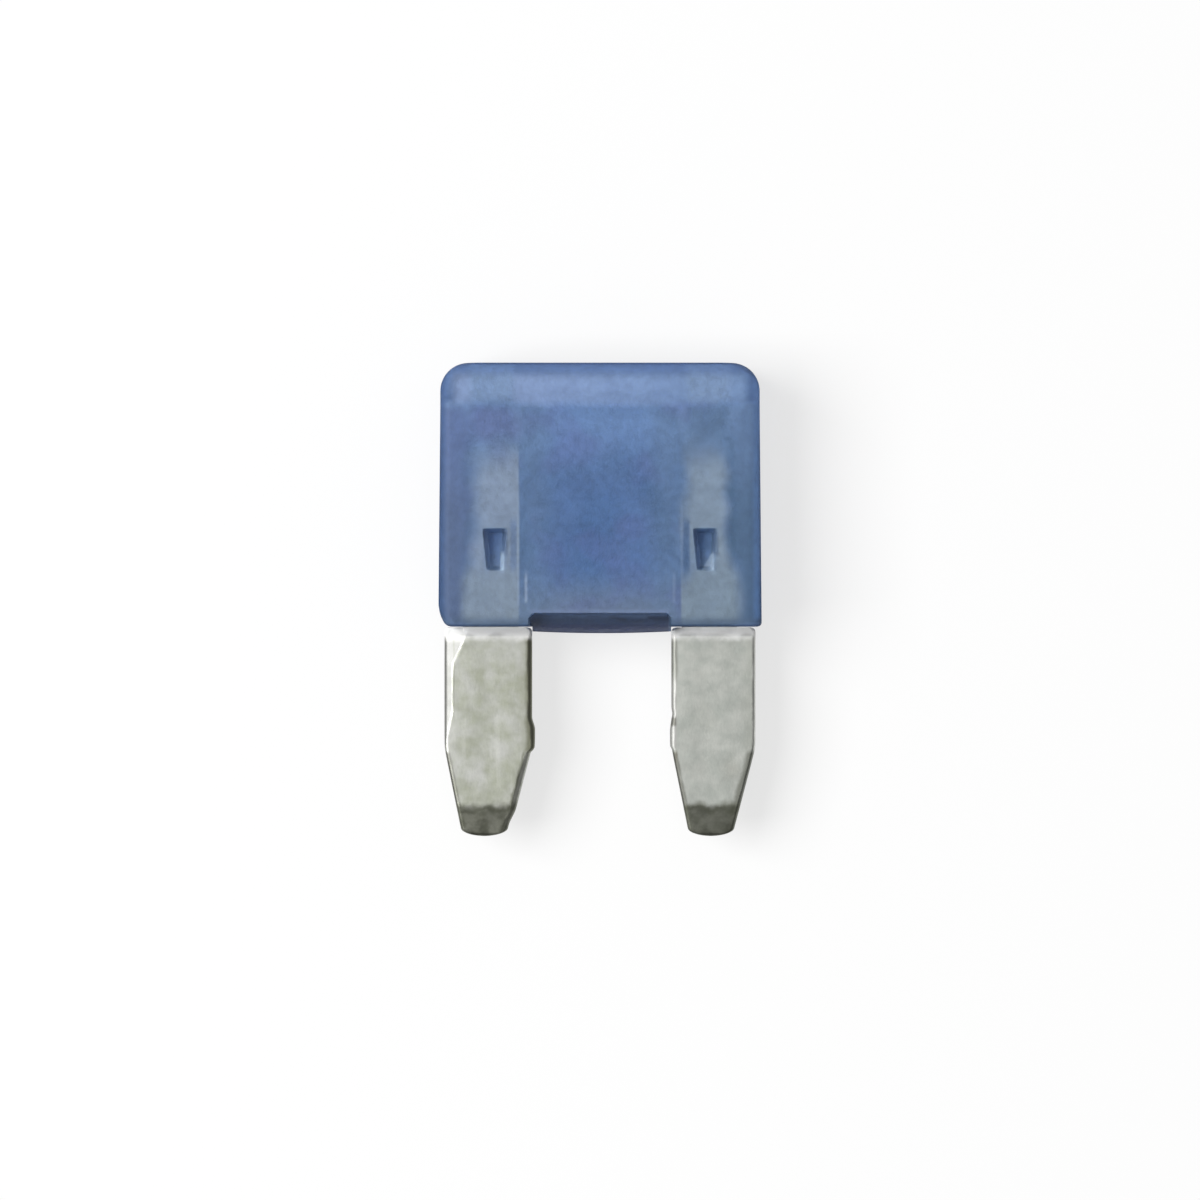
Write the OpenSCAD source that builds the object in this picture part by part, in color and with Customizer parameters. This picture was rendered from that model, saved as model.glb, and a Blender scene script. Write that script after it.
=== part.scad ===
// Mini blade fuse: a one-piece stamped zinc element pushed into a one-piece moulded housing
// and held there by staking the housing walls into a hole in each stem.
// The fuse lies on its back. +X is to the right of its face, the head points to +Y, the blades
// point to -Y and +Z is up. Lengths are in millimetres and angles in degrees.
// Each module is drawn with y = 0 at the housing rim and z = 0 in the middle of the blades.

/* [Housing] */
// Width of the housing across its open rim
housing_w = 10.9; // [10.6:0.1:12]
// Height of the housing from the rim to the top of the head
housing_h = 8.9; // [8.4:0.1:10]
// Thickness of the housing at the rim and at the head
housing_t = 3.6; // [3.4:0.1:4.4]
// Height of the head above the grip step
head_h = 1.25; // [1.15:0.05:1.5]
// Draft of the narrow sides
side_draft = 0.5; // [0.3:0.1:1.2]
// Draft of the broad faces, which leaves the head standing proud as a grip step
face_draft = 1.2; // [0.6:0.1:1.6]
// Radius of the two outer corners of the head
corner_r = 0.8; // [0.6:0.1:1.1]
// Radius of the moulded edges
edge_r = 0.4; // [0.2:0.05:0.5]
// Chamfer round the rim
rim_chamfer = 0.15; // [0.05:0.05:0.25]
// Bevel under the grip step
step_bevel = 0.12; // [0.04:0.02:0.14]

/* [Tongue] */
// Height of the rebate between the blades, above the rim
rebate_h = 0.44; // [0.3:0.02:0.7]
// Depth of the rebate, from the broad face
rebate_depth = 0.8; // [0.5:0.05:0.85]
// How far the thin tongue reaches below the rim in the middle
tongue_drop = 0.22; // [0.06:0.02:0.3]
// How much the tongue's lower edge bows down between its ends
tongue_bow = 0.06; // [0.02:0.01:0.09]

/* [Stakes] */
// Height of each stake's centre above the rim
stake_y = 2.6; // [2.4:0.1:3]
// Distance of each stake inward from the middle of its blade
stake_inset = 0.28; // [0.2:0.02:0.3]
// Height of each stake pit
stake_h = 1.45; // [1.2:0.05:1.6]
// Width of each stake pit at its upper end
stake_w = 0.86; // [0.7:0.02:0.94]
// Depth of each stake pit at its deep upper end
stake_depth = 0.85; // [0.6:0.05:0.95]
// How far each stake plug reaches into the stem
plug_reach = 0.25; // [0.1:0.05:0.3]

/* [Blades] */
// Width of each blade
blade_w = 2.9; // [2.7:0.05:3]
// Distance from each side of the rim to the outer edge of its blade
side_margin = 0.18; // [0.1:0.02:0.3]
// Thickness of the blades
strip_t = 0.8; // [0.7:0.05:0.9]
// Length of each blade below the rim
blade_len = 7.1; // [6.6:0.1:8]
// Length of the tapered end
taper_len = 3.0; // [2.4:0.1:3.6]
// Width of each blade across its tip
tip_w = 1.5; // [1.2:0.1:1.8]
// Length of the coined wedge at the tip
coin_len = 1.05; // [0.6:0.05:1.4]
// Thickness of the strip at the very tip
tip_t = 0.42; // [0.4:0.02:0.6]
// Radius of the rolled edges of the blades
roll_r = 0.2; // [0.1:0.02:0.2]
// Height of the sheared tie bar left on the left blade
left_stub = 0.09; // [0.02:0.01:0.12]
// Height of the sheared tie bar left on the right blade
right_stub = 0.04; // [0.02:0.01:0.12]
// Length of both sheared stubs along the blade
stub_len = 1.0; // [0.6:0.1:1.4]
// Length of the ramp that leads from each blade's face up to its thinner stem
shoulder_ramp = 0.35; // [0.2:0.05:0.5]

/* [Stems] */
// Thickness of the stems, which are skived thinner than the blades
stem_t = 0.6; // [0.5:0.05:0.65]
// Width of the shoulder on the outer side of each stem
outer_shoulder = 0.75; // [0.7:0.05:0.85]
// Width of the shoulder on the inner side of each stem
inner_shoulder = 0.4; // [0.3:0.05:0.45]
// Height of each stem above the rim
stem_h = 6.55; // [6:0.05:7]
// Extra width of each stem's foot on its outer side
foot_extra = 0.12; // [0.06:0.02:0.16]
// Height of each stem's foot
foot_h = 1.6; // [1.2:0.1:1.7]
// Chamfer on the upper corners of each stem
stem_chamfer = 0.3; // [0.1:0.05:0.4]

/* [Fusible link] */
// Height of the arch's centre above the rim
arch_y = 3.55; // [3.4:0.05:3.9]
// Distance from each stem to the middle of the link's nearer leg
leg_offset = 0.72; // [0.66:0.02:0.9]
// Width of the link
link_w = 0.65; // [0.5:0.05:0.7]
// Thickness of the skived link
link_t = 0.35; // [0.25:0.05:0.5]
// Width left between the two notches at the crown
neck_w = 0.32; // [0.2:0.02:0.4]

/* [Fits] */
// Clearance between the stems and the walls of their pockets
fit = 0.05; // [0.03:0.01:0.08]
// Gap between the blade shoulders and the rim
seat_gap = 0.03; // [0.02:0.01:0.06]
// Clearance between each stake plug and its hole
plug_fit = 0.03; // [0.02:0.01:0.05]

/* [Hidden] */
// Fineness of rounded edges that are hulled, and of true round walls
hull_fn = 32;
round_fn = 64;
// Thickness of the slices that the hulls are drawn through, and how far cuts run past faces
slice = 0.01;
past = 1;

grip_y = housing_h - head_h;
middle_y = (housing_h - blade_len) / 2;
blade_out = housing_w / 2 - side_margin;
blade_in = blade_out - blade_w;
blade_x = (blade_in + blade_out) / 2;
stem_in = blade_in + inner_shoulder;
stem_out = blade_out - outer_shoulder;
stem_x = (stem_in + stem_out) / 2;
stake_x = blade_x - stake_inset;
arch_r = stem_in - leg_offset;

// The stem's hole takes the staked plug
hole_w = stake_w - 0.06;
hole_h = stake_h - 0.1;
pocket_half_t = stem_t / 2 + fit;
chamber_half_w = stem_in - 0.1;
chamber_half_t = pocket_half_t + 0.1;
chamber_draft = 0.6;
chamber_y = grip_y - 0.15;
window_w = stem_out - stem_in - 0.3;
rebate_half_w = blade_in + 0.01;
rebate_slope = 0.15;
tongue_half_w = blade_in - 0.05;
tongue_end = 0.06;
tongue_steps = 16;
foot_reach_y = 0.5;
pit_taper = 0.12;
pit_floor_rise = 0.5;
pit_narrow = 0.65;
link_ramp = 0.2;
leg_drop = 0.45;
shoulder_r = roll_r + 0.04;
bend_r = 0.5;
tip_r = 0.25;
crown_r = 0.6 * tip_w;
crown_rise = 0.08;
// Shares of the roll radius, from the face down, at which the rolled edge is drawn
roll_levels = [0, 0.12, 0.4, 1];

// Half width and half thickness of the housing at a height above the rim
function half_w_at(y) = housing_w / 2 - y * tan(side_draft);
function half_t_at(y) = housing_t / 2 - y * tan(face_draft);

// Outline of the right stem, grown by a clearance on every side but its open foot
function stem_outline(grow) = [
    [stem_in - grow, -foot_reach_y],
    [stem_out + foot_extra + grow, -foot_reach_y],
    [stem_out + foot_extra + grow, foot_h + grow],
    [stem_out + grow, foot_h + foot_extra + grow],
    [stem_out + grow, stem_h - stem_chamfer + grow / 2],
    [stem_out - stem_chamfer + grow / 2, stem_h + grow],
    [stem_in + stem_chamfer - grow / 2, stem_h + grow],
    [stem_in - grow, stem_h - stem_chamfer + grow / 2]
];

// Stations of a blade from its shoulders to its crowned tip: half width, y, corner radius and half
// thickness
function blade_stations() = [
    [blade_w / 2, -seat_gap, shoulder_r, stem_t / 2],
    [blade_w / 2, -seat_gap - shoulder_ramp, shoulder_r, strip_t / 2],
    [blade_w / 2, taper_len - blade_len, bend_r, strip_t / 2],
    [width_at(coin_len) / 2, coin_len - blade_len, shoulder_r, strip_t / 2],
    [tip_w / 2, crown_rise - blade_len, tip_r, tip_t / 2],
    [crown_r, -blade_len, crown_r, tip_t / 2]
];

// Height of the tongue's lower edge, a parabola, at a share from -1 to 1 of its half width
function tongue_edge_y(share) = tongue_bow * share * share - tongue_drop;

// Width of a blade at a distance from its tip, along the taper
function width_at(d) = tip_w + (blade_w - tip_w) * d / taper_len;

module both_sides() {
    children();
    mirror([1, 0, 0]) children();
}

module both_faces() {
    children();
    mirror([0, 0, 1]) children();
}

// Four thin round-cornered posts that mark a housing cross-section at height y
module cross_section(half_w, half_t, y, r) {
    for (sx = [-1, 1], sz = [-1, 1])
        translate([sx * (half_w - r), y, sz * (half_t - r)])
            rotate([-90, 0, 0])
                cylinder(h = slice, r = r, $fn = hull_fn);
}

// Drafted box from the chamfered rim to the grip step
module housing_body() {
    hull() {
        cross_section(half_w_at(0) - rim_chamfer, half_t_at(0) - rim_chamfer, 0, edge_r - rim_chamfer / 2);
        cross_section(half_w_at(0), half_t_at(0), rim_chamfer, edge_r);
        cross_section(half_w_at(grip_y), half_t_at(grip_y), grip_y, edge_r);
    }
}

// Head with rounded corners and edges, proud of the broad faces by the grip step
module housing_head() {
    corner_y = housing_h - corner_r;
    intersection() {
        hull() {
            for (sx = [-1, 1], sz = [-1, 1])
                translate([sx * (half_w_at(corner_y) - corner_r), corner_y, sz * (housing_t / 2 - edge_r)])
                    rotate_extrude($fn = hull_fn)
                        translate([corner_r - edge_r, 0])
                            circle(r = edge_r, $fn = hull_fn);
            cross_section(half_w_at(grip_y), housing_t / 2, grip_y, edge_r);
        }
        rotate([90, 0, 90])
            linear_extrude(height = housing_w + 2 * past, center = true)
                polygon([
                    [grip_y, step_bevel - housing_t / 2],
                    [grip_y + step_bevel, -housing_t / 2],
                    [housing_h + past, -housing_t / 2],
                    [housing_h + past, housing_t / 2],
                    [grip_y + step_bevel, housing_t / 2],
                    [grip_y, housing_t / 2 - step_bevel]
                ]);
    }
}

// Cavity between the pockets, where the fusible link hangs clear of the walls
module link_chamber() {
    narrowing = (chamber_y + past) * tan(chamber_draft);
    rotate([90, 0, 90])
        linear_extrude(height = 2 * chamber_half_w, center = true)
            polygon([
                [-past, -chamber_half_t],
                [chamber_y, narrowing - chamber_half_t],
                [chamber_y, chamber_half_t - narrowing],
                [-past, chamber_half_t]
            ]);
}

// Pocket for one stem, and the mouth that joins it to the link chamber
module stem_pocket() {
    linear_extrude(height = 2 * pocket_half_t, center = true)
        polygon(stem_outline(fit));
    translate([chamber_half_w - slice, -foot_reach_y, -pocket_half_t])
        cube([stem_in - chamber_half_w + slice, foot_reach_y + stem_h, 2 * pocket_half_t]);
}

// Window through the head, where a test probe reaches the top of the stem
module probe_window() {
    translate([stem_x - window_w / 2, stem_h - fit, -pocket_half_t])
        cube([window_w, housing_h - stem_h + past, 2 * pocket_half_t]);
}

// Rebate in a broad face between the blades, with sloped ends
module face_rebate() {
    floor_z = housing_t / 2 - rebate_depth;
    translate([0, 0, floor_z])
        linear_extrude(height = rebate_depth + past)
            polygon([
                [-rebate_half_w, -past],
                [-rebate_half_w, rebate_h - rebate_slope],
                [rebate_slope - rebate_half_w, rebate_h],
                [rebate_half_w - rebate_slope, rebate_h],
                [rebate_half_w, rebate_h - rebate_slope],
                [rebate_half_w, -past]
            ]);
}

// Thin tongue behind the rebate, which reaches below the rim between the blades
module face_tongue() {
    tongue_t = housing_t / 2 - rebate_depth - chamber_half_t;
    translate([0, 0, chamber_half_t])
        linear_extrude(height = tongue_t)
            polygon([
                [-tongue_half_w, rebate_h],
                [-tongue_half_w, tongue_end + tongue_edge_y(1)],
                for (i = [0 : tongue_steps])
                    let (share = 2 * i / tongue_steps - 1)
                        [share * (tongue_half_w - tongue_end), tongue_edge_y(share)],
                [tongue_half_w, tongue_end + tongue_edge_y(1)],
                [tongue_half_w, rebate_h]
            ]);
}

// Pit left by the staking punch: wide and deep at its upper end, narrow and shallow at its lower end
module stake_pit() {
    top_y = stake_y + stake_h / 2;
    bottom_y = stake_y - stake_h / 2;
    surface_z = half_t_at(stake_y);
    intersection() {
        translate([stake_x, 0, 0])
            linear_extrude(height = housing_t)
                polygon([
                    [-stake_w / 2, top_y],
                    [-stake_w / 2 * pit_narrow, bottom_y],
                    [stake_w / 2 * pit_narrow, bottom_y],
                    [stake_w / 2, top_y]
                ]);
        rotate([90, 0, 90])
            linear_extrude(height = housing_w)
                polygon([
                    [top_y, surface_z + past],
                    [top_y, surface_z],
                    [top_y - pit_taper, surface_z - stake_depth],
                    [bottom_y + pit_taper, surface_z - stake_depth * pit_floor_rise],
                    [bottom_y, surface_z],
                    [bottom_y, surface_z + past]
                ]);
        translate([stake_x, 0, 0])
            rotate([90, 0, 0])
                linear_extrude(height = 4 * housing_h, center = true)
                    polygon([
                        [-stake_w / 2, surface_z + past],
                        [-stake_w / 2, surface_z],
                        [pit_taper - stake_w / 2, surface_z - stake_depth],
                        [stake_w / 2 - pit_taper, surface_z - stake_depth],
                        [stake_w / 2, surface_z],
                        [stake_w / 2, surface_z + past]
                    ]);
    }
}

// Long round-ended slot, standing on z = 0
module round_slot(w, h, depth) {
    translate([-w / 2, (w - h) / 2, 0])
        cube([w, h - w, depth]);
    for (end = [-1, 1])
        translate([0, end * (h - w) / 2, 0])
            cylinder(h = depth, r = w / 2, $fn = round_fn);
}

// Plug that the punch drove from a wall into the stem's hole
module stake_plug() {
    translate([stake_x, stake_y, stem_t / 2 - plug_reach])
        round_slot(hole_w - 2 * plug_fit, hole_h - 2 * plug_fit, plug_reach + 3 * fit);
}

module housing() {
    color("steelblue")
        union() {
            difference() {
                union() {
                    housing_body();
                    housing_head();
                    both_faces() face_tongue();
                }
                link_chamber();
                both_sides() stem_pocket();
                both_sides() probe_window();
                both_faces() face_rebate();
                both_faces() both_sides() stake_pit();
            }
            both_faces() both_sides() stake_plug();
        }
}

// One blade with rolled edges, a tapered end and a coined tip, centred on x = 0
module blade() {
    hull() {
        for (s = blade_stations(), sx = [-1, 1], sz = [-1, 1], level = roll_levels) {
            inset = roll_r * (1 - sqrt(1 - pow(1 - level, 2)));
            inward = s[1] < -blade_len / 2 ? s[2] : -s[2];
            z = s[3] - level * min(roll_r, s[3] - slice);
            translate([sx * (s[0] - s[2]), s[1] + inward, sz * (z - slice / 2) - slice / 2])
                cylinder(h = slice, r = s[2] - inset, $fn = hull_fn);
        }
    }
}

// What the shear leaves of the tie bar that joined the blades in the strip
module tie_stub(stub) {
    top_y = taper_len - blade_len + stub_len;
    linear_extrude(height = strip_t - 2 * roll_r, center = true)
        polygon([
            [blade_in + roll_r, top_y],
            [blade_in, top_y],
            [blade_in - stub, top_y - stub_len / 3],
            [blade_in - stub, top_y - stub_len * 0.85],
            [blade_in + roll_r, top_y - stub_len]
        ]);
}

// Stem that stands in the housing above each blade, with the hole that takes the stake plugs
module stem() {
    difference() {
        linear_extrude(height = stem_t, center = true)
            polygon(stem_outline(0));
        translate([stake_x, stake_y, -past])
            round_slot(hole_w, hole_h, 2 * past);
    }
}

// Arched link, skived thin, with feet that turn outwards into the stems and a notched crown
module fusible_link() {
    leg_in = arch_r - link_w / 2;
    foot_y = arch_y - leg_drop;
    crown_y = arch_y + arch_r;
    notch_r = (link_w - neck_w) / 2;
    intersection() {
        difference() {
            linear_extrude(height = stem_t, center = true)
                union() {
                    difference() {
                        translate([0, arch_y]) circle(r = arch_r + link_w / 2, $fn = round_fn);
                        translate([0, arch_y]) circle(r = leg_in, $fn = round_fn);
                        translate([-arch_r - past, foot_y - arch_r - past])
                            square([2 * (arch_r + past), arch_r + past + leg_drop]);
                    }
                    for (side = [-1, 1])
                        translate([side * arch_r - link_w / 2, foot_y - link_w])
                            square([link_w, leg_drop + link_w]);
                    for (side = [-1, 1])
                        translate([side * (stem_in + leg_in + slice) / 2, foot_y - link_w / 2])
                            square([stem_in - leg_in + slice, link_w], center = true);
                }
            for (edge = [-1, 1])
                translate([0, crown_y + edge * link_w / 2, -past])
                    cylinder(h = 2 * past, r = notch_r, $fn = round_fn);
        }
        rotate([-90, 0, 0])
            linear_extrude(height = housing_h)
                polygon([
                    [-stem_in - past, -stem_t / 2],
                    [-stem_in, -stem_t / 2],
                    [link_ramp - stem_in, -link_t / 2],
                    [stem_in - link_ramp, -link_t / 2],
                    [stem_in, -stem_t / 2],
                    [stem_in + past, -stem_t / 2],
                    [stem_in + past, stem_t / 2],
                    [stem_in, stem_t / 2],
                    [stem_in - link_ramp, link_t / 2],
                    [link_ramp - stem_in, link_t / 2],
                    [-stem_in, stem_t / 2],
                    [-stem_in - past, stem_t / 2]
                ]);
    }
}

module fuse_element() {
    color("silver")
        union() {
            both_sides() {
                translate([blade_x, 0, 0]) blade();
                stem();
            }
            tie_stub(right_stub);
            mirror([1, 0, 0]) tie_stub(left_stub);
            fusible_link();
        }
}

// Lays the fuse on its back with the middle of its footprint at the origin
module lying() {
    translate([0, -middle_y, housing_t / 2]) children();
}

lying() housing();
lying() fuse_element();
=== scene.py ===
"""Looks of a small blade fuse: a frosted blue housing round a one-piece zinc element, in a pale studio.

Both pieces are worked out in millimetres, with y = 0 at the housing rim, z = 0 in the middle of the
blades, +x to the right and +y towards the head, and are then set down in the frame in metres.
"""
from math import pi, radians, tan

import bpy
import numpy as np
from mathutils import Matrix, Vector


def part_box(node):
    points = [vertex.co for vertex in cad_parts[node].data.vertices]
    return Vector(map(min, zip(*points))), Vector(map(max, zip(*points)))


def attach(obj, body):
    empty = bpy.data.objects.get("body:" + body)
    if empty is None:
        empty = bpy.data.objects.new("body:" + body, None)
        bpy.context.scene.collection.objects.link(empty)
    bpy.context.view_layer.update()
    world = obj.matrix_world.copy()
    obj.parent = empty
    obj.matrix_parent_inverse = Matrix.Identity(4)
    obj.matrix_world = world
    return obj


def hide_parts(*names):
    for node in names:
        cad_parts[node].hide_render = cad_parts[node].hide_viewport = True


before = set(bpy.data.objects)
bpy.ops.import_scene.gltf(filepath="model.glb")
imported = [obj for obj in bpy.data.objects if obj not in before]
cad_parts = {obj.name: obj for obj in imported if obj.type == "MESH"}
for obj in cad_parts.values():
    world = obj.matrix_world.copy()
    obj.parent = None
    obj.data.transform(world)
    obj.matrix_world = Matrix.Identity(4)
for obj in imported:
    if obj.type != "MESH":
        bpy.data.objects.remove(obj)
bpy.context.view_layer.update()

MM = 0.001

# Studio
VIEW_WIDTH = 40.37 * MM
LENS = 200
SENSOR = 36
FLOOR_SIDE = 1.2
FLOOR_GLOW = 0.7
KEY_PLACE = (-0.37, 0.04, 0.45)
KEY_SIDE = 0.4
KEY_POWER = 4.2
OVERHEAD_PLACE = (0, 0, 0.55)
OVERHEAD_SIDE = 0.3
OVERHEAD_POWER = 0.22
WORLD_STRENGTH = 0.25
CREASE = 35

# Finishes
CLEAR_SHARE = 0.5
HAZE_ROUGHNESS = 0.55
CLEAR_ROUGHNESS = 0.52
FOG_DENSITY = 520.0
BEVEL_ROUGHNESS = 0.57

# Housing, in millimetres
HOUSING_W = 10.9
HOUSING_H = 8.9
HOUSING_T = 3.6
HEAD_H = 1.25
SIDE_DRAFT = radians(0.5)
FACE_DRAFT = radians(1.2)
CORNER_R = 0.95
EDGE_R = 0.4
RIM_R = 0.15
STEP_SOFTNESS = 0.28
REBATE_H = 0.44
REBATE_DEPTH = 0.8
REBATE_HALF_W = 2.38
REBATE_SLOPE = 0.15
CHAMBER_ROOF = 0.5
TONGUE_DROP = 0.22
TONGUE_BOW = 0.06
TONGUE_GAP = 0.02
RIM_CUT_W = 0.28
RIM_CUT_H = 0.8
STAKE_X = 3.54
STAKE_Y = 2.6
STAKE_H = 1.45
STAKE_HALF_W = 0.43
STAKE_NARROW = 0.65
STAKE_DEPTH = 0.85
STAKE_WALL = 0.16
PLUG_REACH = 0.25

# Zinc element, in millimetres
LEFT_IN = 2.3
RIGHT_IN = 2.42
BLADE_OUT = 5.27
BLADE_LEN = 7.1
STRIP_T = 0.8
STEM_T = 0.6
TAPER_LEN = 3.0
TAPER_EACH_SIDE = 0.7
TAPER_Y = TAPER_LEN - BLADE_LEN
TAPER_ROUND = 0.15
TIP_LEAN = -0.09
TIP_T = 0.42
TIP_CUT = 0.1
CROWN_H = 0.26
COIN_LEN = 1.05
SEAT_GAP = 0.03
SHOULDER_RAMP = 0.35
EDGE_ROLL = 0.12
SHOULDER_R = 0.16
BEVEL_SLOPE = 0.3
BEVEL_DEPTH = 0.17
LEFT_BEVEL_W = 0.28
LEFT_BEVEL_Y = (-4.3, -2.7)
FACET_W = 0.58
FACET_LEN = 1.2
FACET_Y = -1.25
FACET_PAINT_SLOPE = 0.48
FACE_WAVE = 0.002
STEM_IN = 2.77
STEM_OUT = 4.52
STEM_H = 6.55
STEM_CHAMFER = 0.3
FOOT_H = 1.6
FOOT_EXTRA = 0.12
FOOT_REACH = 0.5
HOLE_W = 0.8
HOLE_H = 1.35
ARCH_R = 2.05
ARCH_Y = 3.55
LINK_W = 0.65
LINK_T = 0.35
LINK_BEND = 0.34
NECK_W = 0.32
FIT = 0.05

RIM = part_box("housing")[1].y / MM - HOUSING_H
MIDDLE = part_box("housing")[1].z / MM / 2
GRIP_Y = HOUSING_H - HEAD_H


def smoothstep(x, low, high):
    """0 below low, 1 above high and 3 t^2 - 2 t^3 between, with t the share of the way across."""
    t = np.clip((x - low) / (high - low), 0, 1)
    return t * t * (3 - 2 * t)


def levels(*stretches):
    """Rising positions through stretches, each given as its end and its number of steps, from 0."""
    parts = [np.zeros(1)]
    for end, steps in stretches:
        parts.append(np.linspace(parts[-1][-1], end, steps + 1)[1:])
    return np.concatenate(parts)


def section_template(face_u, arc_points=8):
    """One turn round a rounded rectangle, from its upper left edge clockwise as seen from below.

    Every point has a share u across the width, a share k of the roll's width by which it lies inside
    the side, a share m of the roll's depth by which it lies below the face, and top, 1 or -1. On an arc
    at the angle a from the side, k = 1 - cos a and m = 1 - sin a, and on a face k = 1 and m = 0.
    """
    a = np.linspace(0, pi / 2, arc_points)
    k, m = 1 - np.cos(a), 1 - np.sin(a)
    inner = face_u[1:-1]
    flat = np.ones_like(inner)
    u = np.concatenate([0 * a, inner, 1 + 0 * a, 1 + 0 * a, inner[::-1], 0 * a])
    k = np.concatenate([k, flat, k[::-1], k, flat, k[::-1]])
    m = np.concatenate([m, 0 * flat, m[::-1], m, 0 * flat, m[::-1]])
    top = np.repeat([1.0, -1.0], len(u) // 2)
    return u, k, m, top


def section_rings(template, y, x_min, x_max, half_t, roll_left, roll_right, roll_depth):
    """Rings of rounded rectangles, one for each y, as an array of stations, points and coordinates.

    x runs from x_min + k * roll_left at u = 0 to x_max - k * roll_right at u = 1, and
    z = top * (half_t - m * roll_depth).
    """
    u, k, m, top = template
    y, x_min, x_max, half_t, roll_left, roll_right, roll_depth = [
        np.broadcast_to(v, np.shape(y))[:, None] for v in
        (y, x_min, x_max, half_t, roll_left, roll_right, roll_depth)
    ]
    x = (1 - u) * (x_min + k * roll_left) + u * (x_max - k * roll_right)
    z = top * (half_t - m * roll_depth)
    return np.stack([x, y + 0 * x, z], axis=-1)


def raw_solid(name, rings, closed=False):
    """A scene object through rings: quads between neighbours, and flat ends or, if closed, none."""
    count, points = rings.shape[:2]
    index = np.arange(count * points).reshape(count, points)
    index_on = np.roll(index, -1, axis=1)
    last = count if closed else count - 1
    step = np.roll(np.arange(count), -1)[:last]
    quads = np.stack([index[:last], index_on[:last], index_on[step], index[step]], axis=-1)
    faces = quads.reshape(-1, 4).tolist()
    if not closed:
        faces += [index[0, ::-1].tolist(), index[-1].tolist()]
    mesh = bpy.data.meshes.new(name)
    mesh.from_pydata(rings.reshape(-1, 3).tolist(), [], faces)
    obj = bpy.data.objects.new(name, mesh)
    bpy.context.scene.collection.objects.link(obj)
    return obj


def combined(base, joined=(), cut=()):
    """Joins the solids of one list to base and cuts those of the other from it, and keeps only base."""
    for tool, operation in [(t, "UNION") for t in joined] + [(t, "DIFFERENCE") for t in cut]:
        boolean = base.modifiers.new(operation, "BOOLEAN")
        boolean.solver = "MANIFOLD"
        boolean.operation = operation
        boolean.object = tool
    bpy.context.view_layer.update()
    shape = base.evaluated_get(bpy.context.evaluated_depsgraph_get())
    mesh = bpy.data.meshes.new_from_object(shape)
    base.modifiers.clear()
    base.data = mesh
    for tool in (*joined, *cut):
        bpy.data.objects.remove(tool)
    return base


def finish_piece(piece, node, material, crease):
    """Sets a piece down in the frame, in metres, in the place of its CAD node."""
    mesh = piece.data
    points = np.empty(len(mesh.vertices) * 3)
    mesh.vertices.foreach_get("co", points)
    points = (points.reshape(-1, 3) + (0, RIM, MIDDLE)) * MM
    mesh.vertices.foreach_set("co", points.ravel())
    mesh.materials.clear()
    mesh.materials.append(material)
    mesh.shade_smooth()
    mesh.set_sharp_from_angle(angle=radians(crease))
    mesh.update()
    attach(piece, "root")
    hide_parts(node)


# Housing

def prism(name, outline, z_low, z_high):
    """Straight solid over an outline given anticlockwise as seen from +z."""
    outline = np.array(outline, float)
    low, high = [np.column_stack([outline, np.full(len(outline), z)]) for z in (z_low, z_high)]
    return raw_solid(name, np.stack([low, high]))


def block(name, x_low, x_high, y_low, y_high, half_t):
    outline = [(x_low, y_low), (x_high, y_low), (x_high, y_high), (x_low, y_high)]
    return prism(name, outline, -half_t, half_t)


def half_w_at(y):
    return HOUSING_W / 2 - y * tan(SIDE_DRAFT)


def half_t_at(y):
    """Half thickness: the drafted body, led by a smooth step up to the head, which stands proud."""
    step = smoothstep(y, GRIP_Y - STEP_SOFTNESS, GRIP_Y + STEP_SOFTNESS)
    body = HOUSING_T / 2 - y * tan(FACE_DRAFT)
    return body + (HOUSING_T / 2 - body) * step


def pit_depth(x, y):
    """Depth of the stake pits below a face.

    Each is a trapezoid, narrower at its lower end, whose floor falls in a straight line from half depth
    at the lower end to full depth at the upper end, and whose walls are smooth steps.
    """
    low, high = STAKE_Y - STAKE_H / 2, STAKE_Y + STAKE_H / 2
    share = np.clip((y - low) / STAKE_H, 0, 1)
    half_w = STAKE_HALF_W * (STAKE_NARROW + (1 - STAKE_NARROW) * share)
    across = 1 - smoothstep(np.abs(np.abs(x) - STAKE_X), half_w - STAKE_WALL, half_w)
    along = smoothstep(y, low, low + STAKE_WALL) * (1 - smoothstep(y, high - STAKE_WALL, high))
    return STAKE_DEPTH * (0.5 + 0.5 * share) * across * along


def rebate_depth(x, y):
    """Depth of the rebate between the blades: a trapezoid open at the rim, with steep walls."""
    wall = 0.03
    half_w = REBATE_HALF_W - np.clip(y - (REBATE_H - REBATE_SLOPE), 0, REBATE_SLOPE)
    across = 1 - smoothstep(np.abs(x), half_w - wall, half_w + wall)
    along = 1 - smoothstep(y, REBATE_H - wall, REBATE_H + wall)
    return REBATE_DEPTH * across * along


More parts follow.
